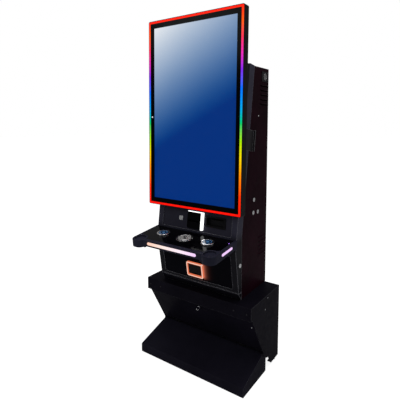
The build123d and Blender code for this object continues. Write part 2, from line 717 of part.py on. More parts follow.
# ---------------------------------------------------------------- main door
CHEEK = 34.0            # the raised strip left at each side of the inset panels
OPEN_HALF = DOOR_W / 2 - CHEEK
MID_V = (-12.0, 97.0)
BELLY_U = (16.0, 205.0)
with BuildPart() as main_door:
    with BuildSketch(SIDE.offset(-DOOR_W / 2)):
        with BuildLine():
            Polyline(
                (SEAM_Y - SEAM_GAP, DOOR_FOOT_Z),
                (BELLY_FOOT_Y, DOOR_FOOT_Z),
                BELLY_TOP,
                on_door(MAIN_TOP_V, MAIN_T),
                on_door(MAIN_TOP_V, SEAM_GAP),
                on_door(0, SEAM_GAP),
                close=True,
            )
        make_face()
    extrude(amount=DOOR_W)
    with BuildSketch(SIDE.offset(-DOOR_W / 2 + SHEET)):
        with BuildLine():
            Polyline(
                (SEAM_Y - SEAM_GAP - SHEET, DOOR_FOOT_Z + SHEET),
                on_belly(SHEET, -SHEET),
                on_belly(BELLY_LEN - 0.2, -SHEET),
                on_door(MAIN_TOP_V - SHEET, MAIN_T - SHEET),
                on_door(MAIN_TOP_V - SHEET, SEAM_GAP + SHEET),
                (SEAM_Y - SEAM_GAP - SHEET, RAKE_Z),
                close=True,
            )
        make_face()
    extrude(amount=DOOR_W - 2 * SHEET, mode=Mode.SUBTRACT)
    # open back, leaving a return flange all round
    with BuildSketch(SIDE.offset(-DOOR_W / 2 + 15)):
        with BuildLine():
            Polyline(
                (SEAM_Y - SEAM_GAP - SHEET - 1, DOOR_FOOT_Z + 14),
                (SEAM_Y + 30, DOOR_FOOT_Z + 14),
                (SEAM_Y + 30, RAKE_Z + 90),
                (SEAM_Y + 4, RAKE_Z + 90),
                (SEAM_Y - SEAM_GAP - SHEET - 1, RAKE_Z),
                close=True,
            )
        make_face()
    extrude(amount=DOOR_W - 30, mode=Mode.SUBTRACT)
    # openings for the two inset panels
    with BuildSketch(DOOR.offset(MAIN_T - 8)):
        with Locations((0, sum(MID_V) / 2)):
            RectangleRounded(2 * OPEN_HALF, MID_V[1] - MID_V[0], 4)
    extrude(amount=12, mode=Mode.SUBTRACT)
    with BuildSketch(BELLY.offset(-8)):
        with Locations((0, sum(BELLY_U) / 2)):
            RectangleRounded(2 * OPEN_HALF, BELLY_U[1] - BELLY_U[0], 6)
    extrude(amount=12, mode=Mode.SUBTRACT)
    # relief at the hinge corner, which the raked door passes when both stand open
    with BuildSketch(DOOR.offset(16)):
        with Locations((-DOOR_W / 2 + 22, MAIN_TOP_V - 3)):
            Rectangle(50, 10)
    extrude(amount=MAIN_T - 12, mode=Mode.SUBTRACT)
    # lock hole in the right cheek
    with BuildSketch(SIDE.offset(DOOR_W / 2 - 2 * SHEET)):
        with Locations((-38, 638)):
            Circle(9.8)
    extrude(amount=3 * SHEET, mode=Mode.SUBTRACT)
    # hinge barrels on the left edge
    for z in MAIN_HINGE_ZS:
        knuckle(main_hinge.offset(z + 31), 28)
        with BuildSketch(main_hinge.offset(z + 31)):
            with Locations((3.2, -7)):
                Rectangle(5.6, 12)
            Circle(PIN_R + 0.06, mode=Mode.SUBTRACT)
        extrude(amount=28)
main_door.part.label = "main_door"
export_step(main_door.part, "parts/main_door.step")

BILL_V = 43.0
BILL = (124.0, 90.0)
PRINTER_AT = (128.0, 51.0)
KEY_AT = (-100.0, 44.0)
PANEL_N = MAIN_T - SHEET      # the inset panels lie against the back of the door's face
with BuildPart() as mid_panel:
    with BuildSketch(DOOR.offset(PANEL_N)):
        with Locations((0, sum(MID_V) / 2)):
            Rectangle(2 * OPEN_HALF + 10, MID_V[1] - MID_V[0] + 2)
        with Locations((0, BILL_V)):
            Rectangle(BILL[0] - 8, BILL[1] - 8, mode=Mode.SUBTRACT)
        with Locations(PRINTER_AT):
            Rectangle(118, 52, mode=Mode.SUBTRACT)
        with Locations(KEY_AT):
            Circle(9.8, mode=Mode.SUBTRACT)
    extrude(amount=-SHEET)
mid_panel.part.label = "mid_panel"
export_step(mid_panel.part, "parts/mid_panel.step")

# Payout window, at the middle of the belly panel.
PAY_AT = (-7.0, 74.0)
PAY_IN = (92.0, 68.0)
PAY_OUT = (110.0, 86.0)
with BuildPart() as belly_panel:
    with BuildSketch(BELLY.offset(-SHEET)):
        with Locations((0, sum(BELLY_U) / 2)):
            Rectangle(2 * OPEN_HALF + 10, BELLY_U[1] - BELLY_U[0] + 10)
        with Locations(PAY_AT):
            RectangleRounded(PAY_IN[0], PAY_IN[1], 6, mode=Mode.SUBTRACT)
    extrude(amount=-SHEET)
belly_panel.part.label = "belly_panel"
export_step(belly_panel.part, "parts/belly_panel.step")

# Bill entry: a black snout with the note mouth, and the light guide that runs over its top and down its right side.
MOUTH = (76.0, 9.0)
SNOUT_X = (-47.0, 40.4)
SNOUT_MID = sum(SNOUT_X) / 2
SNOUT_T = 12.0
GUIDE_X = (41.0, 53.0)        # the upright leg of the light guide
GUIDE_T = 14.0
with BuildPart() as bill_entry:
    with BuildSketch(DOOR.offset(PANEL_N)):
        with Locations((SNOUT_MID, BILL_V)):
            RectangleRounded(SNOUT_X[1] - SNOUT_X[0], BILL[1], 4)
    extrude(amount=SNOUT_T)
    with BuildSketch(DOOR.offset(PANEL_N)):
        with Locations((0, BILL_V)):
            Rectangle(BILL[0] - 10, BILL[1] - 10)
    extrude(amount=-30)
    with BuildSketch(DOOR.offset(PANEL_N - 28)):
        with Locations((0, BILL_V)):
            Rectangle(BILL[0] - 16, BILL[1] - 16)
    extrude(amount=25, mode=Mode.SUBTRACT)
    # sloped scoop that leads a note into the mouth
    mouth_y, mouth_z = on_door(BILL_V - 2, PANEL_N)
    with Locations((SNOUT_MID, mouth_y, mouth_z)):
        Box(MOUTH[0], 90, MOUTH[1], mode=Mode.SUBTRACT)
    with BuildSketch(SIDE.offset(SNOUT_MID - MOUTH[0] / 2)):
        with BuildLine():
            Polyline(
                (mouth_y - 10, mouth_z - 4),
                (mouth_y - 40, mouth_z - 26),
                (mouth_y - 40, mouth_z + 18),
                (mouth_y - 10, mouth_z + 4),
                close=True,
            )
        make_face()
    extrude(amount=MOUTH[0], mode=Mode.SUBTRACT)
bill_entry.part.label = "bill_entry"
export_step(bill_entry.part, "parts/bill_entry.step")

with BuildPart() as bill_light:
    with BuildSketch(DOOR.offset(PANEL_N)):
        with Locations((sum(GUIDE_X) / 2, BILL_V + 1)):
            RectangleRounded(GUIDE_X[1] - GUIDE_X[0], BILL[1] + 5.2, 3)
    extrude(amount=GUIDE_T)
    with BuildSketch(DOOR.offset(PANEL_N)):
        with Locations(((SNOUT_X[0] + GUIDE_X[1]) / 2 - 2, BILL_V + BILL[1] / 2 + 2.1)):
            Rectangle(GUIDE_X[1] - SNOUT_X[0] - 4, 3)
    extrude(amount=GUIDE_T - 1)
bill_light.part.label = "bill_light"
export_step(bill_light.part, "parts/bill_light.step")

with BuildPart() as printer_bezel:
    with BuildSketch(DOOR.offset(PANEL_N)):
        with Locations(PRINTER_AT):
            RectangleRounded(126, 60, 4)
            Rectangle(108, 42, mode=Mode.SUBTRACT)
    extrude(amount=3.5)
    with BuildSketch(DOOR.offset(PANEL_N)):
        with Locations(PRINTER_AT):
            Rectangle(114, 48)
            Rectangle(108, 42, mode=Mode.SUBTRACT)
    extrude(amount=-19)
    with BuildSketch(DOOR.offset(PANEL_N - 16)):
        with Locations(PRINTER_AT):
            Rectangle(110, 44)
    extrude(amount=-3)
    slot_y, slot_z = on_door(PRINTER_AT[1] + 13, PANEL_N - 17)
    with Locations((PRINTER_AT[0], slot_y, slot_z)):
        Box(72, 20, 7, mode=Mode.SUBTRACT)
printer_bezel.part.label = "printer_bezel"
export_step(printer_bezel.part, "parts/printer_bezel.step")

# Key switch on the middle panel and the lock in the right cheek.
KEY_SWITCH = Plane(
    origin=DOOR.from_local_coords(Vector(KEY_AT[0], KEY_AT[1], PANEL_N)),
    x_dir=(1, 0, 0),
    z_dir=DOOR.z_dir,
)
CHEEK_LOCK = Plane(origin=(DOOR_W / 2, -38, 638), x_dir=(0, 0, 1), z_dir=(1, 0, 0))
with BuildPart() as door_lock_bodies:
    with BuildSketch(KEY_SWITCH):
        RectangleRounded(25, 23, 3)
        Circle(9, mode=Mode.SUBTRACT)
    extrude(amount=2)
    lock_body(KEY_SWITCH, 5, 20)
    lock_body(CHEEK_LOCK, 8, 20)
door_lock_bodies.part.label = "door_lock_bodies"
export_step(door_lock_bodies.part, "parts/door_lock_bodies.step")

with BuildPart() as key_switch_plug:
    lock_plug(KEY_SWITCH, 5.6, 20, 12)
key_switch_plug.part.label = "key_switch_plug"
export_step(key_switch_plug.part, "parts/key_switch_plug.step")

with BuildPart() as belly_lock_plug:
    lock_plug(CHEEK_LOCK, 8.6, 20, 18)
belly_lock_plug.part.label = "belly_lock_plug"
export_step(belly_lock_plug.part, "parts/belly_lock_plug.step")

FLAP_PIN_U = PAY_AT[1] + PAY_IN[1] / 2 - 6
FLAP_PIN_N = 1.5
FLAP_DROP = PAY_IN[1] - 10
with BuildPart() as payout_light:
    with BuildSketch(BELLY.offset(-SHEET)):
        with Locations(PAY_AT):
            RectangleRounded(PAY_OUT[0], PAY_OUT[1], 12)
            RectangleRounded(PAY_IN[0], PAY_IN[1], 6, mode=Mode.SUBTRACT)
    extrude(amount=12)
    outer_rim = payout_light.faces().filter_by(GeomType.PLANE).sort_by(Axis.Y)[0].outer_wire().edges()
    fillet(outer_rim, radius=3)
    with BuildSketch(along_x(BELLY, FLAP_PIN_U, FLAP_PIN_N, PAY_AT[0] - PAY_IN[0] / 2 - 5)):
        Circle(1.55)
    extrude(amount=PAY_IN[0] + 10, mode=Mode.SUBTRACT)
payout_light.part.label = "payout_light"
export_step(payout_light.part, "parts/payout_light.step")

with BuildPart() as payout_tray:
    with BuildSketch(BELLY.offset(-2 * SHEET)):
        with Locations(PAY_AT):
            RectangleRounded(PAY_IN[0] + 16, PAY_IN[1] + 16, 6)
    extrude(amount=-2)
    with BuildSketch(BELLY.offset(-2 * SHEET)):
        with Locations(PAY_AT):
            RectangleRounded(PAY_IN[0] + 5, PAY_IN[1] + 5, 6)
    extrude(amount=-23)
    with BuildSketch(BELLY.offset(-2 * SHEET)):
        with Locations(PAY_AT):
            RectangleRounded(PAY_IN[0], PAY_IN[1], 6)
    extrude(amount=-20.5, mode=Mode.SUBTRACT)
payout_tray.part.label = "payout_tray"
export_step(payout_tray.part, "parts/payout_tray.step")

# Smoked flap that lifts outwards, on stub pins at its top edge.
with BuildPart() as payout_flap:
    with BuildSketch(along_x(BELLY, FLAP_PIN_U, FLAP_PIN_N, PAY_AT[0] - PAY_IN[0] / 2 + 1)):
        Circle(2.6)
        with Locations((-FLAP_DROP / 2, 0)):
            Rectangle(FLAP_DROP, 2.4)
    extrude(amount=PAY_IN[0] - 2)
    with BuildSketch(along_x(BELLY, FLAP_PIN_U, FLAP_PIN_N, PAY_AT[0] - PAY_IN[0] / 2 - 4)):
        Circle(1.5)
    extrude(amount=PAY_IN[0] + 8)
    with BuildSketch(BELLY.offset(FLAP_PIN_N)):
        with Locations((PAY_AT[0], FLAP_PIN_U - FLAP_DROP + 4)):
            Rectangle(40, 4)
    extrude(amount=4.5)
payout_flap.part.label = "payout_flap"
export_step(payout_flap.part, "parts/payout_flap.step")


# ---------------------------------------------------------------- button deck
def deck_outline():
    """Half outline of the deck, mirrored: straight sides, rounded horns, a set-back front between them."""
    dip = -(HORN_R ** 2 - (FASCIA - HORN_FRONT - HORN_R) ** 2) ** 0.5
    with BuildLine() as outline:
        back = Line((0, 16), (DECK_HALF, 16))
        side = Line(back @ 1, (DECK_HALF, HORN_FRONT + HORN_R))
        outer = RadiusArc(side @ 1, (DECK_HALF - HORN_R, HORN_FRONT), HORN_R)
        nose = Line(outer @ 1, (HORN_IN + HORN_R, HORN_FRONT))
        inner = RadiusArc(nose @ 1, (HORN_IN + HORN_R + dip, FASCIA), HORN_R)
        Line(inner @ 1, (0, FASCIA))
        mirror(about=Plane.YZ)
    make_face(outline.edges())


def gloss_outline(grow):
    """The glossy insert: it stops short of the coasters."""
    with BuildLine() as outline:
        Polyline(
            (-252 - grow, -6 + grow),
            (252 + grow, -6 + grow),
            (252 + grow, -140 - grow),
            (180, -189 - grow),
            (-180, -189 - grow),
            (-252 - grow, -140 - grow),
            close=True,
        )
    make_face(outline.edges())
    with Locations((COASTER_AT[0], COASTER_AT[1]), (-COASTER_AT[0], COASTER_AT[1])):
        Circle(40 - grow, mode=Mode.SUBTRACT)


with BuildPart() as deck_shell:
    with BuildSketch(DECK):
        deck_outline()
    extrude(amount=-DECK_T)
    top_rim = deck_shell.faces().sort_by(Axis.Z)[-1].outer_wire().edges()
    front_rim = [e for e in top_rim if DECK.to_local_coords(e.center()).Y < 0]
    fillet(front_rim, radius=3)
    # thinner between the horns
    with BuildSketch(DECK.offset(-DECK_T)):
        with Locations((0, -160)):
            Rectangle(352, 160)
    extrude(amount=8, mode=Mode.SUBTRACT)
    # coasters
    with BuildSketch(DECK):
        with Locations(COASTER_AT, (-COASTER_AT[0], COASTER_AT[1])):
            Circle(32)
    extrude(amount=-8, mode=Mode.SUBTRACT)
    # ledge for the gloss insert, and the hollow under it
    with BuildSketch(DECK):
        gloss_outline(0.3)
    extrude(amount=-SHEET, mode=Mode.SUBTRACT)
    with BuildSketch(DECK.offset(-SHEET)):
        gloss_outline(-6)
    extrude(amount=-26.5, mode=Mode.SUBTRACT)
    # grooves for the light bars
    with BuildSketch(Plane(DECK.from_local_coords(Vector(0, FASCIA, -15)), x_dir=(1, 0, 0), z_dir=DECK.y_dir * -1)):
        SlotOverall(314, 16)
    extrude(amount=-4, mode=Mode.SUBTRACT)
    for sx in (-1, 1):
        groove = Plane(
            DECK.from_local_coords(Vector(sx * DECK_HALF, -102, -17.5)),
            x_dir=DECK.y_dir,
            z_dir=(sx, 0, 0),
        )
        with BuildSketch(groove):
            SlotOverall(98, 13)
        extrude(amount=-4, mode=Mode.SUBTRACT)
    # the back follows the door's face
    with BuildSketch(DOOR.offset(MAIN_T + 0.3)):
        Rectangle(700, 300)
    extrude(amount=-60, mode=Mode.SUBTRACT)
deck_shell.part.label = "deck_shell"
export_step(deck_shell.part, "parts/deck_shell.step")

HOUSE_R = 29.8
with BuildPart() as deck_top:
    with BuildSketch(DECK):
        gloss_outline(0)
        with Locations(BUTTON_AT, (-BUTTON_AT[0], BUTTON_AT[1])):
            Circle(HOUSE_R + 0.2, mode=Mode.SUBTRACT)
        with Locations(CUP_AT):
            Circle(39.2, mode=Mode.SUBTRACT)
    extrude(amount=-SHEET)
deck_top.part.label = "deck_top"
export_step(deck_top.part, "parts/deck_top.step")

# Light bars: one along the front between the horns, one on each side.
with BuildPart() as deck_lights:
    front_bar = Plane(DECK.from_local_coords(Vector(0, FASCIA, -15)), x_dir=(1, 0, 0), z_dir=DECK.y_dir * -1)
    with BuildSketch(front_bar):
        SlotOverall(313, 15)
    extrude(amount=-3.8)
    with BuildSketch(front_bar):
        SlotOverall(313, 15)
    extrude(amount=2.5)
    for sx in (-1, 1):
        groove = Plane(
            DECK.from_local_coords(Vector(sx * DECK_HALF, -102, -17.5)),
            x_dir=DECK.y_dir,
            z_dir=(sx, 0, 0),
        )
        with BuildSketch(groove):
            SlotOverall(97, 12)
        extrude(amount=-3.8)
        with BuildSketch(groove):
            SlotOverall(97, 12)
        extrude(amount=2)
deck_lights.part.label = "deck_lights"
export_step(deck_lights.part, "parts/deck_lights.step")

with BuildPart() as deck_cup:
    with BuildSketch(DECK):
        with Locations(CUP_AT):
            Circle(46)
    extrude(amount=2.5)
    with BuildSketch(DECK):
        with Locations(CUP_AT):
            Circle(39)
    extrude(amount=-27)
    rim = deck_cup.edges().filter_by(GeomType.CIRCLE).sort_by(SortBy.RADIUS)[-2:]
    fillet(rim, radius=1.1)
    with BuildSketch(DECK.offset(2.5)):
        with Locations(CUP_AT):
            Circle(37.4)
    extrude(amount=-28, mode=Mode.SUBTRACT)
    inner_edges = deck_cup.edges().filter_by(GeomType.CIRCLE).filter_by(lambda e: abs(e.radius - 37.4) < 0.05)
    fillet(inner_edges, radius=1.2)
deck_cup.part.label = "deck_cup"
export_step(deck_cup.part, "parts/deck_cup.step")

# Push buttons: a ringed housing each, a cap that slides in it and the return spring under the cap.
CAP_R = 27.6
with BuildPart() as button_housings:
    with BuildSketch(DECK):
        with Locations(BUTTON_AT, (-BUTTON_AT[0], BUTTON_AT[1])):
            Circle(36.5)
    extrude(amount=7.5)
    fillet(button_housings.edges().filter_by(GeomType.CIRCLE).group_by(Axis.Z)[-1], radius=3)
    with BuildSketch(DECK.offset(0.1)):
        with Locations(BUTTON_AT, (-BUTTON_AT[0], BUTTON_AT[1])):
            Circle(HOUSE_R)
    extrude(amount=-27.1)
    with BuildSketch(DECK.offset(8)):
        with Locations(BUTTON_AT, (-BUTTON_AT[0], BUTTON_AT[1])):
            Circle(CAP_R + 0.4)
    extrude(amount=-33, mode=Mode.SUBTRACT)
button_housings.part.label = "button_housings"
export_step(button_housings.part, "parts/button_housings.step")


def button_cap(x):
    """Cap with a domed face and a skirt."""
    with BuildSketch(DECK.offset(6.2)) as crown:
        with Locations((x, BUTTON_AT[1])):
            Circle(CAP_R)
    extrude(crown.sketch, amount=-18.2)
    with BuildSketch(DECK.offset(2.0)) as hollow:
        with Locations((x, BUTTON_AT[1])):
            Circle(CAP_R - 2)
    extrude(hollow.sketch, amount=-20, mode=Mode.SUBTRACT)


with BuildPart() as button_cap_left:
    button_cap(-BUTTON_AT[0])
    fillet(button_cap_left.edges().filter_by(GeomType.CIRCLE).sort_by(Axis.Z)[-1:], radius=2.5)
button_cap_left.part.label = "button_cap_left"
export_step(button_cap_left.part, "parts/button_cap_left.step")

with BuildPart() as button_cap_right:
    button_cap(BUTTON_AT[0])
    fillet(button_cap_right.edges().filter_by(GeomType.CIRCLE).sort_by(Axis.Z)[-1:], radius=2.5)
button_cap_right.part.label = "button_cap_right"
export_step(button_cap_right.part, "parts/button_cap_right.step")

SPRING_R = 12.0


def button_spring(x):
    """Return spring between the housing's floor and the cap."""
    foot = DECK.from_local_coords(Vector(x, BUTTON_AT[1], -24.2))
    with BuildLine() as coil:
        Helix(pitch=5.6, height=25.2, radius=SPRING_R, center=foot, direction=DECK.z_dir)
    path = coil.edges()[0]
    with BuildSketch(Plane(origin=path @ 0, z_dir=path % 0)) as wire:
        Circle(0.7)
    sweep(wire.sketch, path=path)


with BuildPart() as button_spring_left:
    button_spring(-BUTTON_AT[0])
button_spring_left.part.label = "button_spring_left"
export_step(button_spring_left.part, "parts/button_spring_left.step")

with BuildPart() as button_spring_right:
    button_spring(BUTTON_AT[0])
button_spring_right.part.label = "button_spring_right"
export_step(button_spring_right.part, "parts/button_spring_right.step")

# ---------------------------------------------------------------- screen door and monitor
with BuildPart() as screen_door:
    with BuildSketch(DOOR.offset(SEAM_GAP)):
        with Locations((0, sum(UPPER_V) / 2)):
            Rectangle(DOOR_W, UPPER_V[1] - UPPER_V[0])
    extrude(amount=UPPER_T - SEAM_GAP)
    fillet(screen_door.edges().filter_by(lambda e: abs((e % 0.5).Z) > 0.9).group_by(Axis.Y)[0], radius=3)
    with BuildSketch(DOOR.offset(SEAM_GAP)):
        with Locations((0, sum(UPPER_V) / 2)):
            Rectangle(DOOR_W - 2 * SHEET, UPPER_V[1] - UPPER_V[0] - 2 * SHEET)
    extrude(amount=UPPER_T - SHEET - SEAM_GAP, mode=Mode.SUBTRACT)
    with BuildSketch(DOOR.offset(UPPER_T - SHEET)):
        with Locations((0, 420)):
            RectangleRounded(120, 60, 12)
    extrude(amount=SHEET, mode=Mode.SUBTRACT)
    for v in UPPER_HINGE_VS:
        leaf = up_axis(DOOR, v + 31, 0, HINGE_X)
        knuckle(leaf, 28)
        with BuildSketch(leaf):
            with Locations((3.2, -7)):
                Rectangle(5.6, 12)
            Circle(PIN_R + 0.06, mode=Mode.SUBTRACT)
        extrude(amount=28)
screen_door.part.label = "screen_door"
export_step(screen_door.part, "parts/screen_door.step")

# Pull plate on the free edge of the screen door: it laps over the cabinet side and its rear edge turns out.
PULL_V = (440.0, 550.0)
with BuildPart() as door_pull:
    pull_face = DOOR_W / 2
    with BuildSketch(up_axis(DOOR, PULL_V[0], 0, pull_face)):
        with BuildLine():
            Polyline((0, -44), (2.5, -44), (2.5, 38), (12, 42), (12, 45), (0, 41), close=True)
        make_face()
    extrude(amount=PULL_V[1] - PULL_V[0])
door_pull.part.label = "door_pull"
export_step(door_pull.part, "parts/door_pull.step")

door_face = [on_door(v, UPPER_T + 0.2) for v in (170, 860)]
mon_rear = [MON.from_local_coords(Vector(0, u, -MON_T - 0.2)) for u in (70, 750)]


def wedge():
    """Side view of a monitor bracket: from the leaning door out to the more upright monitor."""
    with BuildLine() as outline:
        Polyline(
            door_face[0],
            door_face[1],
            (mon_rear[1].Y, mon_rear[1].Z),
            (mon_rear[0].Y, mon_rear[0].Z),
            close=True,
        )
    make_face(outline.edges())


# Two wedge plates and the cross bar at their narrow end, as three solids that meet almost face to face.
BRACKET_IN = 164.0
BRACKET_BAR_Z = 985.0
with BuildPart() as monitor_bracket:
    for x in (-BRACKET_IN - 16, BRACKET_IN):
        with BuildSketch(SIDE.offset(x)):
            wedge()
        extrude(amount=16)
    with BuildSketch(SIDE.offset(-BRACKET_IN + 0.3)):
        wedge()
        with Locations((0, BRACKET_BAR_Z + 400)):
            Rectangle(400, 800, mode=Mode.SUBTRACT)
    extrude(amount=2 * BRACKET_IN - 0.6)
monitor_bracket.part.label = "monitor_bracket"
export_step(monitor_bracket.part, "parts/monitor_bracket.step")

MON_MID = (0, MON_H / 2)
with BuildPart() as monitor_housing:
    with BuildSketch(MON):
        with Locations(MON_MID):
            RectangleRounded(MON_W, MON_H, 7)
    extrude(amount=-MON_T)
    back_rim = monitor_housing.faces().sort_by(Axis.Y)[-1].outer_wire().edges()
    fillet(back_rim, radius=6)
    with BuildSketch(MON):
        with Locations(MON_MID):
            RectangleRounded(MON_W - 2 * MON_RIM, MON_H - 2 * MON_RIM, 5)
    extrude(amount=-MON_T + SHEET, mode=Mode.SUBTRACT)
    # rear vents
    with BuildSketch(MON.offset(-MON_T)):
        with Locations((0, 900), (0, 130)):
            with GridLocations(26, 1, 14, 1):
                SlotOverall(60, 5, rotation=90)
    extrude(amount=SHEET, mode=Mode.SUBTRACT)
monitor_housing.part.label = "monitor_housing"
export_step(monitor_housing.part, "parts/monitor_housing.step")

LED_OUT = (MON_W - 2 * MON_RIM - 0.4, MON_H - 2 * MON_RIM - 0.4)
LED_IN = (LED_OUT[0] - 2 * LED_W, LED_OUT[1] - 2 * LED_W)
with BuildPart() as led_ring:
    with BuildSketch(MON.offset(1)):
        with Locations(MON_MID):
            RectangleRounded(LED_OUT[0], LED_OUT[1], 4.8)
            RectangleRounded(LED_IN[0], LED_IN[1], 3, mode=Mode.SUBTRACT)
    extrude(amount=-9)
    front = led_ring.faces().sort_by(Axis.Y)[0]
    fillet(front.outer_wire().edges(), radius=1.5)
led_ring.part.label = "led_ring"
export_step(led_ring.part, "parts/led_ring.step")

with BuildPart() as monitor_bezel:
    with BuildSketch(MON.offset(1.5)):
        with Locations(MON_MID):
            RectangleRounded(LED_IN[0] - 0.4, LED_IN[1] - 0.4, 2.8)
            Rectangle(ACTIVE[0], ACTIVE[1], mode=Mode.SUBTRACT)
    extrude(amount=-6)
    with BuildSketch(MON.offset(-4.5)):
        with Locations(MON_MID):
            Rectangle(LED_IN[0] - 4, LED_IN[1] - 4)
            Rectangle(ACTIVE[0] + 16, ACTIVE[1] + 16, mode=Mode.SUBTRACT)
    extrude(amount=-MON_T + SHEET + 5)
monitor_bezel.part.label = "monitor_bezel"
export_step(monitor_bezel.part, "parts/monitor_bezel.step")

with BuildPart() as screen_glass:
    with BuildSketch(MON.offset(-4.6)):
        with Locations(MON_MID):
            Rectangle(ACTIVE[0] + 14, ACTIVE[1] + 14)
    extrude(amount=-3)
screen_glass.part.label = "screen_glass"
export_step(screen_glass.part, "parts/screen_glass.step")

with BuildPart() as lcd_panel:
    with BuildSketch(MON.offset(-8.6)):
        with Locations(MON_MID):
            Rectangle(ACTIVE[0] + 14, ACTIVE[1] + 14)
    extrude(amount=-18)
lcd_panel.part.label = "lcd_panel"
export_step(lcd_panel.part, "parts/lcd_panel.step")
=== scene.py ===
"""Looks for the slot machine: procedural finishes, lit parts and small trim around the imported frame."""
import math

import bmesh
import bpy
from mathutils import Matrix, Vector


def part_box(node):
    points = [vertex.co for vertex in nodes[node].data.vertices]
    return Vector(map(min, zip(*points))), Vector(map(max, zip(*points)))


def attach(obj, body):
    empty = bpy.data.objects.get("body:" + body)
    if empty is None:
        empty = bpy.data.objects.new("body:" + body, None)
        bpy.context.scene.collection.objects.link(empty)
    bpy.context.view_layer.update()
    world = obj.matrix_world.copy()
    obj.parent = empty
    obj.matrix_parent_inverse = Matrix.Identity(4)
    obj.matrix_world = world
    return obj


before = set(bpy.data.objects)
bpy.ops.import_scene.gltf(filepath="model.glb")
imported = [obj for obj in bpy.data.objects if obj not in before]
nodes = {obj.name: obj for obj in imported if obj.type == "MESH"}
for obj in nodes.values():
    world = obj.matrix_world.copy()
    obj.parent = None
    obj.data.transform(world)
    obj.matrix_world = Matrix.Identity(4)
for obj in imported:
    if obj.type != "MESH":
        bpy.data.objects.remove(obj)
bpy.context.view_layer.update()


# ------------------------------------------------------------------ shared planes of the model, metres
def plane(y, z, lean):
    """Matrix of a face through (0, y, z) that leans back by lean degrees.

    Its local x points right, y up the face and z outwards.
    """
    a = math.radians(lean)
    return Matrix((
        (1, 0, 0, 0),
        (0, math.sin(a), -math.cos(a), y),
        (0, math.cos(a), math.sin(a), z),
        (0, 0, 0, 1),
    ))


BELLY_OUT, BELLY_RISE = 0.0358, 0.229       # the belly leans forwards: it comes out by this over this height
BELLY_LEAN = -math.degrees(math.atan2(BELLY_OUT, BELLY_RISE))
DECK_SLOPE = 6.0
MON = plane(-0.094, 0.907, 1.0)
BELLY = plane(-0.037, 0.486, BELLY_LEAN)
DECK = plane(-0.064, 0.777, 90 - DECK_SLOPE)
SCREEN_W, SCREEN_H = 0.5294, 0.9412
MON_H = 1.022
LAMP_PITCH = 0.0166         # spacing of the lamps behind the light guides


# ------------------------------------------------------------------ node helpers
class Graph:
    """A short way to build one material's node tree."""

    def __init__(self, name):
        self.mat = bpy.data.materials.new(name)
        self.mat.use_nodes = True
        self.tree = self.mat.node_tree
        self.tree.nodes.clear()
        self.out = self.tree.nodes.new("ShaderNodeOutputMaterial")
        self.bsdf = self.tree.nodes.new("ShaderNodeBsdfPrincipled")
        self.tree.links.new(self.bsdf.outputs[0], self.out.inputs[0])
        self.where = self.add("ShaderNodeTexCoord").outputs["Object"]

    def add(self, kind, ins=None, **props):
        n = self.tree.nodes.new(kind)
        for k, v in props.items():
            setattr(n, k, v)
        for k, v in (ins or {}).items():
            self.put(n.inputs[k], v)
        return n

    def put(self, socket, v):
        if isinstance(v, bpy.types.NodeSocket):
            self.tree.links.new(v, socket)
        else:
            if hasattr(socket.default_value, "__len__") and len(socket.default_value) == 4 and len(v) == 3:
                v = (*v, 1.0)
            socket.default_value = v

    def set(self, **ins):
        for k, v in ins.items():
            self.put(self.bsdf.inputs[k.replace("_", " ")], v)

    def specular(self, level):
        self.bsdf.inputs["Specular IOR Level"].default_value = level

    def noise(self, scale, detail=3.0, rough=0.55, vec=None, distortion=0.0):
        n = self.add("ShaderNodeTexNoise", {
            "Vector": vec or self.where, "Scale": scale, "Detail": detail,
            "Roughness": rough, "Distortion": distortion,
        })
        return n.outputs["Fac"]

    def ramp(self, fac, *stops):
        n = self.add("ShaderNodeValToRGB", {"Fac": fac})
        e = n.color_ramp.elements
        while len(e) < len(stops):
            e.new(0.5)
        for el, (p, c) in zip(e, stops):
            el.position = p
            el.color = (c, c, c, 1) if isinstance(c, (int, float)) else (*c, 1)
        return n.outputs["Color"]

    def math(self, op, a, b=0.0):
        return self.add("ShaderNodeMath", {0: a, 1: b}, operation=op).outputs[0]

    def span(self, v, a, b, c=0.0, d=1.0):
        """v mapped so that a gives c and b gives d, and held at those ends."""
        n = self.add("ShaderNodeMapRange", {
            "Value": v, "From Min": a, "From Max": b, "To Min": c, "To Max": d,
        })
        return n.outputs[0]

    def length(self, a, b):
        squares = self.math("ADD", self.math("MULTIPLY", a, a), self.math("MULTIPLY", b, b))
        return self.math("SQRT", squares)

    def lamps(self, along):
        """A wave from -1 to 1 at the lamps' spacing."""
        return self.math("COSINE", self.math("MULTIPLY", along, math.tau / LAMP_PITCH))

    def mix(self, fac, a, b):
        n = self.add("ShaderNodeMix", data_type="RGBA")
        self.put(n.inputs["Factor"], fac)
        self.put(n.inputs[6], a)
        self.put(n.inputs[7], b)
        return n.outputs[2]

    def bump(self, height, strength, distance, normal):
        n = self.add("ShaderNodeBump", {
            "Height": height, "Strength": strength, "Distance": distance, "Normal": normal,
        })
        return n.outputs[0]

    def round_edge(self, radius=0.0012):
        return self.add("ShaderNodeBevel", {"Radius": radius}, samples=4).outputs[0]

    def edge_mask(self, radius):
        """1 near a sharp edge, 0 on the flat."""
        bev = self.add("ShaderNodeBevel", {"Radius": radius}, samples=4).outputs[0]
        flat = self.add("ShaderNodeNewGeometry").outputs["Normal"]
        dot = self.add("ShaderNodeVectorMath", {0: bev, 1: flat}, operation="DOT_PRODUCT").outputs["Value"]
        return self.span(dot, 0.995, 0.80)

    def local(self, matrix):
        """Object coordinates expressed on one of the model's planes."""
        inv = matrix.inverted()
        m = self.add("ShaderNodeMapping", {
            "Vector": self.where, "Location": tuple(inv.translation), "Rotation": tuple(inv.to_euler()),
        }, vector_type="POINT")
        sep = self.add("ShaderNodeSeparateXYZ", {0: m.outputs[0]})
        return m.outputs[0], sep.outputs


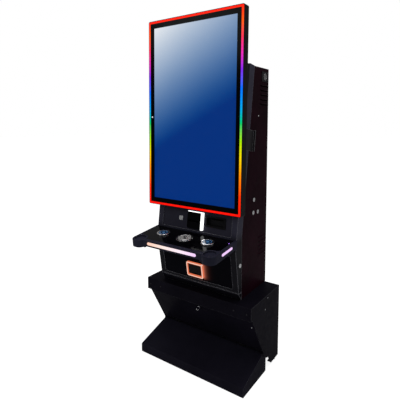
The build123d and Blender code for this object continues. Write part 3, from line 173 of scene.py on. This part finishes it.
def srgb(r, g, b):
    return tuple(((c / 255 + 0.055) / 1.055) ** 2.4 if c > 10 else c / 255 / 12.92 for c in (r, g, b))


# Painted shade under the deck: below a given height the coat keeps only a share of its colour.
PAINTED_SHADE_SHARE = 0.16
PAINTED_SHADE_FADE = 0.05            # height over which the colour comes back above painted_shade_below


def powder(name, base, hint, rough=0.45, spec=0.1, grain=0.3, wear_and_highlight_share=0.5, edge_wear_and_highlight=(0.10, 0.10, 0.11), least=0.15,
           reach=0.002, painted_shade_below=None):
    """Powder-coated steel: pebbled skin, slow colour drift, and paler edges, partly worn paint and partly
    a painted highlight. Returns the graph.

    least is the smallest share of the paler colour along an edge, and reach how far it goes from the edge.
    Below the height painted_shade_below only PAINTED_SHADE_SHARE of the coat's colour is left, a painted
    shade.
    """
    g = Graph(name)
    drift = g.noise(5.0, 4.0)
    pebble = g.noise(1100.0, 2.0, 0.6)
    coarse = g.noise(260.0, 3.0, 0.5)
    colour = g.mix(g.ramp(drift, (0.35, 0.0), (0.7, 1.0)), base, hint)
    # painted shade: darker below the given height
    if painted_shade_below:
        z = g.add("ShaderNodeSeparateXYZ", {0: g.where}).outputs[2]
        shade = g.span(z, painted_shade_below, painted_shade_below + PAINTED_SHADE_FADE, PAINTED_SHADE_SHARE, 1.0)
        colour = g.mix(shade, (0.0, 0.0, 0.0), colour)
    patches = g.ramp(g.noise(60.0, 4.0, 0.65), (0.4, least), (0.75, 1.0))
    # paler edges: a painted highlight along sharp edges, mixed with patchy worn paint
    wear_and_highlight = g.math("MULTIPLY", g.edge_mask(reach), patches)
    colour = g.mix(g.math("MULTIPLY", wear_and_highlight, wear_and_highlight_share), colour, edge_wear_and_highlight)
    skin = g.math("ADD", pebble, g.math("MULTIPLY", coarse, 0.6))
    g.set(Base_Color=colour, Roughness=g.span(g.noise(35.0, 4.0), 0.3, 0.7, rough - 0.07, rough + 0.08),
          Normal=g.bump(skin, grain, 0.00012, g.round_edge()))
    g.specular(spec)
    return g


def moulded(name, base, hint, rough=0.40, spec=0.12, scale=700.0):
    """Moulded plastic with a fine spark texture."""
    g = Graph(name)
    skin = g.noise(scale, 3.0, 0.7)
    colour = g.mix(g.ramp(g.noise(9.0, 3.0), (0.35, 0.0), (0.7, 1.0)), base, hint)
    g.set(Base_Color=colour, Roughness=g.span(g.noise(50.0, 4.0), 0.3, 0.7, rough - 0.05, rough + 0.08),
          Normal=g.bump(skin, 0.3, 0.0001, g.round_edge(0.001)))
    g.specular(spec)
    return g.mat


def gloss(name, base, rough, spec):
    """Polished black plastic or acrylic: slight orange peel, dust and wipe marks."""
    g = Graph(name)
    wipe = g.noise(22.0, 4.0, 0.6, distortion=1.2)
    dust = g.ramp(g.noise(900.0, 2.0, 0.5), (0.66, 0.0), (0.74, 1.0))
    specks = g.math("MULTIPLY", dust, 0.12)
    peel = g.noise(120.0, 1.0)
    g.set(Base_Color=g.mix(specks, base, (0.04, 0.04, 0.045)),
          Roughness=g.math("ADD", g.span(wipe, 0.35, 0.75, rough, rough + 0.07), specks),
          Normal=g.bump(peel, 0.04, 0.0003, g.round_edge(0.0008)))
    g.specular(spec)
    return g.mat


def metal(name, base, hint, rough, brush=None, stretch=(1, 1, 1)):
    """Bare or plated metal. brush is the scale of its grain, which is fainter without it.

    stretch is how much finer the grain is along each axis.
    """
    g = Graph(name)
    m = g.add("ShaderNodeMapping", {"Vector": g.where, "Scale": stretch}).outputs[0]
    grain = g.noise(brush or 300.0, 5.0, 0.7, vec=m)
    smudge = g.noise(40.0, 4.0, 0.6, distortion=0.8)
    depth = 0.12 if brush else 0.03
    shine = g.span(grain, 0.3, 0.7, rough - 0.04, rough + 0.06)
    g.set(Base_Color=g.mix(g.span(grain, 0.3, 0.7), base, hint),
          Roughness=g.math("ADD", shine, g.span(smudge, 0.5, 0.8, 0.0, 0.08)),
          Normal=g.bump(grain, depth, 0.00005, g.round_edge(0.0008)))
    g.bsdf.inputs["Metallic"].default_value = 1.0
    return g.mat


def lamp(name, colour, strength, base):
    """A lit milky diffuser, slightly uneven. Returns the graph."""
    g = Graph(name)
    fade = g.span(g.noise(18.0, 2.0), 0.3, 0.7, 0.94, 1.04)
    g.set(Base_Color=base, Emission_Color=colour, Emission_Strength=g.math("MULTIPLY", fade, strength),
          Roughness=g.span(g.noise(200.0), 0.3, 0.7, 0.32, 0.45))
    return g


# ------------------------------------------------------------------ finishes
# Paler edge colours: on the front a painted highlight, on the stand and the pull partly worn paint and partly
# a painted highlight.
FRONT_EDGE_HIGHLIGHT = (0.46, 0.46, 0.52)
STAND_EDGE_WEAR_AND_HIGHLIGHT = (0.22, 0.22, 0.25)
PULL_EDGE_WEAR_AND_HIGHLIGHT = (0.60, 0.60, 0.64)
DECK_LEVEL = 0.76           # the front's coat is in the deck's shade below this height

black_side = powder("cabinet_side_coat", (0.0240, 0.0040, 0.0110), (0.0110, 0.0024, 0.0056), 0.42, 0.02).mat
black_front = powder("cabinet_front_coat", (0.0620, 0.0600, 0.0950), (0.0460, 0.0440, 0.0700), grain=0.35,
                     wear_and_highlight_share=1.0, edge_wear_and_highlight=FRONT_EDGE_HIGHLIGHT, least=0.75, reach=0.0035, painted_shade_below=DECK_LEVEL).mat
stand_coat = powder("stand_coat", (0.0105, 0.0090, 0.0160), (0.0060, 0.0052, 0.0095), spec=0.02, grain=0.4,
                    wear_and_highlight_share=0.8, edge_wear_and_highlight=STAND_EDGE_WEAR_AND_HIGHLIGHT, least=0.35).mat
# the foot's sloped face: the stand's coat made brighter, a painted sheen where light falls on the slope
stand_coat_painted_sheen = powder("stand_coat_painted_sheen", (0.0200, 0.0185, 0.0310), (0.0130, 0.0118, 0.0205), spec=0.02, grain=0.4,
                    wear_and_highlight_share=0.8, edge_wear_and_highlight=STAND_EDGE_WEAR_AND_HIGHLIGHT, least=0.35).mat
panel_coat = powder("inset_panel_coat", (0.0420, 0.0400, 0.0640), (0.0310, 0.0295, 0.0480), 0.42,
                    wear_and_highlight_share=0.4).mat
pull_coat = powder("pull_coat", (0.0150, 0.0130, 0.0165), (0.0090, 0.0080, 0.0105), 0.38, 0.2,
                   wear_and_highlight_share=1.0, edge_wear_and_highlight=PULL_EDGE_WEAR_AND_HIGHLIGHT, least=0.8).mat
deck_skin = moulded("deck_skin", (0.0340, 0.0345, 0.0580), (0.0230, 0.0235, 0.0400), spec=0.04, scale=800.0)
shell_skin = moulded("monitor_shell", (0.0045, 0.0045, 0.0060), (0.0026, 0.0026, 0.0036))
inner_skin = moulded("inner_plastic", (0.0080, 0.0080, 0.0105), (0.0045, 0.0045, 0.0062), 0.5)
gloss_black = gloss("gloss_black", (0.0016, 0.0014, 0.0026), 0.05, 0.06)
bezel_black = gloss("bezel_black", (0.0008, 0.0008, 0.0011), 0.16, 0.05)
smoked = gloss("smoked_flap", (0.0090, 0.0034, 0.0042), 0.12, 0.1)
zinc = metal("zinc_plate", (0.46, 0.47, 0.50), (0.60, 0.61, 0.63), 0.34, 160.0)
black_steel = metal("black_steel", (0.030, 0.028, 0.034), (0.055, 0.052, 0.060), 0.32, 220.0)
chrome = metal("bright_chrome", (0.90, 0.90, 0.93), (0.96, 0.96, 0.98), 0.09)
steel = metal("polished_steel", (0.86, 0.85, 0.85), (0.95, 0.94, 0.94), 0.10, 500.0, (1, 1, 8))
spring_steel = metal("spring_steel", (0.5, 0.5, 0.52), (0.66, 0.66, 0.68), 0.25)


def rainbow_ring():
    """Colours that run round the screen: red along the top and foot, a full rainbow down each side."""
    g = Graph("light_ring")
    _, xyz = g.local(MON)
    up = g.math("DIVIDE", xyz[1], MON_H)
    side = g.ramp(up,
                  (0.00, (1.0, 0.004, 0.002)), (0.10, (1.0, 0.03, 0.0)), (0.20, (1.0, 0.24, 0.0)),
                  (0.285, (0.9, 0.62, 0.0)), (0.37, (0.32, 0.75, 0.0)), (0.45, (0.0, 0.55, 0.12)),
                  (0.52, (0.0, 0.35, 0.75)), (0.62, (0.0, 0.14, 1.0)), (0.70, (0.18, 0.02, 0.8)),
                  (0.775, (0.75, 0.02, 0.45)), (0.85, (1.0, 0.03, 0.09)), (0.92, (1.0, 0.10, 0.004)),
                  (1.00, (1.0, 0.004, 0.003)))
    # the lamps' spacing shows faintly through the diffuser
    wave = g.math("ADD", g.lamps(xyz[0]), g.lamps(xyz[1]))
    glow = g.math("MULTIPLY", g.span(wave, -2.0, 2.0, 0.92, 1.10), 1.15)
    g.set(Base_Color=(0.002, 0.002, 0.002), Emission_Color=side, Emission_Strength=glow,
          Roughness=g.span(g.noise(200.0), 0.3, 0.7, 0.3, 0.42))
    g.specular(0.05)
    return g.mat


def picture():
    """The display: a pale top corner that deepens to plain blue."""
    g = Graph("display_picture")
    _, xyz = g.local(MON)
    across = g.span(xyz[0], -SCREEN_W / 2, SCREEN_W / 2)
    down = g.span(xyz[1], MON_H / 2 + SCREEN_H / 2, MON_H / 2 - SCREEN_H / 2)
    s = g.math("ADD", g.math("MULTIPLY", across, 0.31), down)
    s = g.math("ADD", s, g.span(g.noise(3.0, 2.0), 0.3, 0.7, -0.008, 0.008))
    t = g.span(s, 0.0, 0.72)
    mixed = g.mix(t, (0.94, 0.96, 0.98), (0.004, 0.208, 0.502))
    colour = g.add("ShaderNodeGamma", {"Color": mixed, "Gamma": 2.2}).outputs[0]
    g.set(Base_Color=(0.01, 0.01, 0.01), Emission_Color=colour, Emission_Strength=1.0,
          Roughness=g.span(g.noise(400.0), 0.3, 0.7, 0.3, 0.4))
    g.specular(0.0)
    return g.mat


def cover_glass():
    """Clear anti-reflection glass with faint smears."""
    g = Graph("cover_glass")
    smears = g.noise(14.0, 4.0, distortion=1.0)
    g.set(Base_Color=(0.002, 0.002, 0.003), Roughness=g.span(smears, 0.3, 0.7, 0.02, 0.08))
    g.bsdf.inputs["Alpha"].default_value = 0.05
    g.specular(0.05)
    g.mat.surface_render_method = "BLENDED"
    return g.mat


BUTTON_X, BUTTON_UP = 0.145, -0.0905        # on the deck
CAP_RIM, CAP_INSIDE = 0.0245, 0.0225        # the display is dark beyond the first and full within the second
CAP_BASE, CAP_DARK, CAP_LIT = srgb(5, 10, 26), srgb(5, 12, 38), srgb(92, 150, 210)


def button_face(name, x):
    """A clear cap over a small dark blue display with soft light shapes."""
    g = Graph(name)
    m, xyz = g.local(DECK @ Matrix.Translation((x, BUTTON_UP, 0)))
    arcs = g.add("ShaderNodeTexWave", {"Vector": m, "Scale": 22.0, "Distortion": 4.0, "Detail": 1.5},
                 wave_type="RINGS", rings_direction="SPHERICAL").outputs["Fac"]
    shape = g.ramp(arcs, (0.70, 0.0), (0.90, 1.0))
    inside = g.span(g.length(xyz[0], xyz[1]), CAP_RIM, CAP_INSIDE)
    g.set(Base_Color=g.mix(inside, (0.004, 0.005, 0.008), CAP_BASE),
          Emission_Color=g.mix(g.math("MULTIPLY", shape, inside), CAP_DARK, CAP_LIT),
          Emission_Strength=g.math("MULTIPLY", inside, 0.45),
          Roughness=g.span(g.noise(60.0), 0.3, 0.7, 0.05, 0.12))
    g.bsdf.inputs["Coat Weight"].default_value = 0.2
    return g.mat


GUARD_RIM, GUARD_INSIDE = 0.0195, 0.0185


def guard_plate():
    """A dark coated plate whose round guard in the middle is bare bright steel."""
    g = Graph("guard_plate")
    low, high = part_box("fan_guard")
    sep = g.add("ShaderNodeSeparateXYZ", {0: g.where}).outputs
    dy = g.math("SUBTRACT", sep[1], (low[1] + high[1]) / 2)
    dz = g.math("SUBTRACT", sep[2], (low[2] + high[2]) / 2)
    bare = g.span(g.length(dy, dz), GUARD_RIM, GUARD_INSIDE)
    tone = g.span(g.noise(300.0, 4.0), 0.3, 0.7)
    coat = g.mix(tone, (0.011, 0.010, 0.013), (0.018, 0.016, 0.021))
    wire = g.mix(tone, (0.62, 0.62, 0.64), (0.78, 0.78, 0.80))
    g.set(Base_Color=g.mix(bare, coat, wire), Metallic=bare, Roughness=g.span(bare, 0.0, 1.0, 0.45, 0.2),
          Normal=g.bump(g.noise(900.0, 2.0), 0.2, 0.0001, g.round_edge(0.0008)))
    g.specular(0.15)
    return g.mat


PAY_X, PAY_UP = -0.007, 0.074       # middle of the payout frame, on the belly
RING_X, RING_Y = 0.055, 0.043       # its half width and half height
RING_WALL = 0.009
SPILL = (0.49, 0.125, 0.07)
SPILL_REACH = 0.0094                # distance over which the spilt light falls to 1/e
SPILL_SOFT = 0.010
SPILL_START = -0.003                # a little under the frame's edge, so that no gap shows
CORE_EDGE, CORE_FULL = 0.0042, 0.0008       # distances from the middle of the frame's wall
CORAL_EDGE, CORAL_CORE = (0.75, 0.16, 0.07), (1.0, 0.66, 0.52)


def belly_glow():
    """Inset belly panel, with the spill of the payout light fading to the right of its frame."""
    g = powder("belly_coat_painted_spill", (0.0050, 0.0046, 0.0084), (0.0028, 0.0026, 0.0050), 0.42, 0.02, wear_and_highlight_share=0.4)
    _, xyz = g.local(BELLY)
    past = g.math("SUBTRACT", xyz[0], PAY_X + RING_X)
    fade = g.math("EXPONENT", g.math("MULTIPLY", past, -1 / SPILL_REACH))
    height = g.math("ABSOLUTE", g.math("SUBTRACT", xyz[1], PAY_UP))
    band = g.span(height, RING_Y + SPILL_SOFT, RING_Y - SPILL_SOFT)
    right_only = g.math("GREATER_THAN", past, SPILL_START)
    glow = g.math("MULTIPLY", g.math("MULTIPLY", fade, band), right_only)
    # painted light: the spill is emission in the panel's own coat, not light cast by the frame
    g.set(Emission_Color=SPILL, Emission_Strength=g.math("MINIMUM", glow, 1.2))
    return g.mat


def coral_frame():
    """A milky frame lit from behind: a pale core that deepens to coral at its edges."""
    g = lamp("coral_light", CORAL_EDGE, 1.0, (0.05, 0.03, 0.03))
    _, xyz = g.local(BELLY)
    across = g.math("ABSOLUTE", g.math("SUBTRACT", xyz[0], PAY_X))
    up = g.math("ABSOLUTE", g.math("SUBTRACT", xyz[1], PAY_UP))
    from_side = g.math("SUBTRACT", across, RING_X - RING_WALL / 2)
    from_top = g.math("SUBTRACT", up, RING_Y - RING_WALL / 2)
    off = g.math("ABSOLUTE", g.math("MAXIMUM", from_side, from_top))
    core = g.span(off, CORE_EDGE, CORE_FULL)
    g.set(Emission_Color=g.mix(core, CORAL_EDGE, CORAL_CORE))
    g.specular(0.1)
    return g.mat


white_bar = lamp("white_bar", (1.0, 1.0, 1.0), 1.6, (0.8, 0.8, 0.8)).mat
purple_lamp = lamp("purple_lamp", (0.42, 0.16, 1.0), 1.3, (0.05, 0.04, 0.08)).mat
# the remote sensor's lens is no lamp: its glow is painted brightness
sensor_painted_glow = lamp("sensor_lens_painted_glow", (0.75, 0.78, 0.85), 0.8, (0.3, 0.3, 0.32)).mat

BAR_HALF = 0.16             # the bars' colour changes over this distance either side of the middle


def deck_bars():
    """Light bars whose colour drifts from warm at -X to magenta at +X."""
    g = Graph("deck_bars")
    _, xyz = g.local(DECK)
    tint = g.ramp(g.span(xyz[0], -BAR_HALF, BAR_HALF), (0.0, (1.0, 0.58, 0.42)), (0.35, (1.0, 0.80, 0.74)),
                  (0.7, (1.0, 0.82, 0.93)), (1.0, (0.88, 0.58, 0.98)))
    g.set(Base_Color=(0.1, 0.1, 0.1), Emission_Color=tint,
          Emission_Strength=g.span(g.lamps(xyz[0]), -1.0, 1.0, 0.99, 1.02),
          Roughness=g.span(g.noise(200.0), 0.3, 0.7, 0.3, 0.42))
    return g.mat


FINISH = {
    black_side: ["cabinet_side_left", "cabinet_side_right", "cabinet_back"],
    black_front: ["main_door", "screen_door", "cabinet_base", "monitor_bracket"],
    belly_glow(): ["belly_panel"],
    panel_coat: ["mid_panel"],
    stand_coat: ["stand_side_left", "stand_side_right", "stand_top", "stand_back", "stand_door"],
    stand_coat_painted_sheen: ["foot_box"],
    zinc: ["equipment_shelf", "game_computer", "levelling_feet"],
    black_steel: ["hinge_posts", "cover_screws"],
    pull_coat: ["door_pull"],
    inner_skin: ["bill_validator", "cash_box", "ticket_printer", "speakers", "fan_frame", "fan_rotor",
                 "power_inlet", "power_rocker", "payout_tray", "printer_bezel"],
    shell_skin: ["monitor_housing"],
    deck_skin: ["deck_shell"],
    gloss_black: ["deck_top", "bill_entry"],
    bezel_black: ["monitor_bezel"],
    smoked: ["payout_flap"],
    chrome: ["side_lock_bodies", "door_lock_bodies", "stand_lock_body", "screen_door_plug", "main_door_plug",
             "service_plug", "key_switch_plug", "belly_lock_plug", "stand_lock_plug", "stand_key",
             "button_housings"],
    steel: ["deck_cup"],
    guard_plate(): ["fan_guard"],
    spring_steel: ["button_spring_left", "button_spring_right"],
    rainbow_ring(): ["led_ring"],
    picture(): ["lcd_panel"],
    cover_glass(): ["screen_glass"],
    button_face("left_button_face", -BUTTON_X): ["button_cap_left"],
    button_face("right_button_face", BUTTON_X): ["button_cap_right"],
    coral_frame(): ["payout_light"],
    white_bar: ["bill_light"],
    deck_bars(): ["deck_lights"],
}
done = set()
for mat, names in FINISH.items():
    for n in names:
        for s in nodes[n].material_slots:
            s.material = mat
        done.add(n)
missing = sorted(set(nodes) - done)
if missing:
    raise SystemExit(f"no finish for {missing}")


# ------------------------------------------------------------------ small trim
SINK = 0.0006               # how deep a trim piece's rim stands in its face
SIDES = 20


def lathe(name, matrix, profile, mat, body):
    """Turned piece: profile is (radius, height) pairs from the rim to the middle, about the local z axis."""
    bm = bmesh.new()
    turn = [math.tau * k / SIDES for k in range(SIDES)]
    rings = []
    for r, h in profile:
        points = [(r * math.cos(t), r * math.sin(t), h) for t in turn] if r else [(0, 0, h)]
        rings.append([bm.verts.new(p) for p in points])
    for low, top in zip(rings, rings[1:]):
        for k in range(SIDES):
            n = (k + 1) % SIDES
            if len(top) == 1:
                bm.faces.new((low[k], low[n], top[0]))
            else:
                bm.faces.new((low[k], low[n], top[n], top[k]))
    bm.faces.new(list(reversed(rings[0])))
    for f in bm.faces:
        f.smooth = True
    me = bpy.data.meshes.new(name)
    bm.to_mesh(me)
    bm.free()
    me.transform(matrix)
    me.materials.append(mat)
    o = bpy.data.objects.new(name, me)
    bpy.context.scene.collection.objects.link(o)
    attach(o, body)


def dome(r, h):
    """Profile of a lens: a short straight rim under a quarter ellipse."""
    steps = 5
    angles = [math.pi / 2 * k / steps for k in range(1, steps)]
    arc = [(r * math.cos(a), h * (0.3 + 0.7 * math.sin(a))) for a in angles]
    return [(r, -SINK), (r, h * 0.3)] + arc + [(0, h)]


def screw_head(r, h):
    """Profile of a button head with a round socket in its middle."""
    outside = [(r, -SINK), (r, h * 0.35), (r * 0.86, h * 0.8), (r * 0.6, h)]
    socket = [(r * 0.42, h), (r * 0.38, h * 0.35), (0, h * 0.3)]
    return outside + socket


def facing_right(x, y, z):
    """Matrix of a place whose local z points along +X."""
    return Matrix.Translation((x, y, z)) @ Matrix.Rotation(math.radians(90), 4, "Y")


SENSOR_AT = MON @ Matrix.Translation((-0.275, 0.496, 0.0015))       # on the bezel
STATUS_AT = DECK @ Matrix.Translation((0.246, -0.049, 0.0))
STAND_SIDE, CABINET_SIDE = 0.350, 0.2585        # x of the faces that the screws sit in
STAND_SCREWS = ((0.101, 0.367), (0.132, 0.421), (-0.057, 0.337))
CABINET_SCREW = facing_right(CABINET_SIDE, 0.172, 1.408)

lathe("remote_sensor", SENSOR_AT, dome(0.0045, 0.0016), sensor_painted_glow, "monitor_door")
lathe("deck_status_lamp", STATUS_AT, dome(0.0030, 0.0012), purple_lamp, "front_door")
for i, (y, z) in enumerate(STAND_SCREWS):
    lathe(f"stand_side_screw_{i + 1}", facing_right(STAND_SIDE, y, z), screw_head(0.0034, 0.0002), zinc,
          "cabinet")
lathe("cabinet_side_screw", CABINET_SCREW, screw_head(0.0042, 0.0014), chrome, "cabinet")


# ------------------------------------------------------------------ floor, light, camera
FLOOR_HALF = 30.0
FLOOR_LIFT = 0.86           # glow that takes the floor to white in the camera only
ROOM_LIGHT = 0.22


def add_floor():
    """A pale paper floor that shows soft shadows and doesn't light the machine by its glow."""
    me = bpy.data.meshes.new("floor")
    bm = bmesh.new()
    bmesh.ops.create_grid(bm, x_segments=1, y_segments=1, size=FLOOR_HALF)
    bm.to_mesh(me)
    bm.free()
    o = bpy.data.objects.new("floor", me)
    bpy.context.scene.collection.objects.link(o)
    g = Graph("floor_paper")
    seen = g.add("ShaderNodeLightPath").outputs["Is Camera Ray"]
    g.set(Base_Color=(0.9, 0.9, 0.9), Roughness=0.9, Emission_Color=(1.0, 1.0, 1.0),
          Emission_Strength=g.math("MULTIPLY", seen, FLOOR_LIFT))
    g.specular(0.0)
    me.materials.append(g.mat)


add_floor()


def area(name, at, aim, size, power):
    """A white soft box at a place, turned to face aim."""
    d = bpy.data.lights.new(name, "AREA")
    d.shape = "RECTANGLE"
    d.size, d.size_y = size
    d.energy = power
    o = bpy.data.objects.new(name, d)
    o.location = at
    o.rotation_mode = "QUATERNION"
    o.rotation_quaternion = (Vector(aim) - Vector(at)).to_track_quat("-Z", "Y")
    bpy.context.scene.collection.objects.link(o)


def add_world():
    """White where it is seen directly, and a dimmer room for everything that it lights."""
    world = bpy.data.worlds.new("studio")
    bpy.context.scene.world = world
    world.use_nodes = True
    tree = world.node_tree
    tree.nodes.clear()
    out = tree.nodes.new("ShaderNodeOutputWorld")
    path = tree.nodes.new("ShaderNodeLightPath")
    mix = tree.nodes.new("ShaderNodeMixShader")
    tree.links.new(path.outputs["Is Camera Ray"], mix.inputs[0])
    for i, strength in ((1, ROOM_LIGHT), (2, 1.0)):
        sky = tree.nodes.new("ShaderNodeBackground")
        sky.inputs["Color"].default_value = (1.0, 1.0, 1.0, 1.0)
        sky.inputs["Strength"].default_value = strength
        tree.links.new(sky.outputs[0], mix.inputs[i])
    tree.links.new(mix.outputs[0], out.inputs[0])


add_world()
CHEST = (0, 0, 0.9)
area("key", (-1.8, -2.8, 3.0), CHEST, (1.4, 1.4), 14)
area("side", (3.0, 0.6, 2.0), CHEST, (0.9, 2.0), 3.5)
area("top", (0.3, -0.4, 4.2), (0, 0, 0.5), (2.0, 2.0), 32)

# The camera stands before the machine, off to its +X side, and looks slightly down.
CAMERA_AT = (1.1758, -1.6937, 1.3801)
YAW, PITCH, ROLL = math.radians(35.0), math.radians(5.9), math.radians(-0.1)
SENSOR_WIDTH, LENS = 36.0, 33.957
SHIFT = (0.00075, -0.09975)


def add_camera():
    data = bpy.data.cameras.new("camera")
    data.sensor_width = SENSOR_WIDTH
    data.lens = LENS
    data.shift_x, data.shift_y = SHIFT
    data.clip_start = 0.05
    data.clip_end = 100.0
    cam = bpy.data.objects.new("camera", data)
    bpy.context.scene.collection.objects.link(cam)
    bpy.context.scene.camera = cam
    level = math.cos(PITCH)
    forward = Vector((-math.sin(YAW) * level, math.cos(YAW) * level, -math.sin(PITCH)))
    roll = Matrix.Rotation(ROLL, 4, "Z").to_quaternion()
    cam.location = CAMERA_AT
    cam.rotation_mode = "QUATERNION"
    cam.rotation_quaternion = forward.to_track_quat("-Z", "Y") @ roll


add_camera()
bpy.context.scene.view_settings.view_transform = "Standard"
bpy.context.scene.view_settings.look = "None"
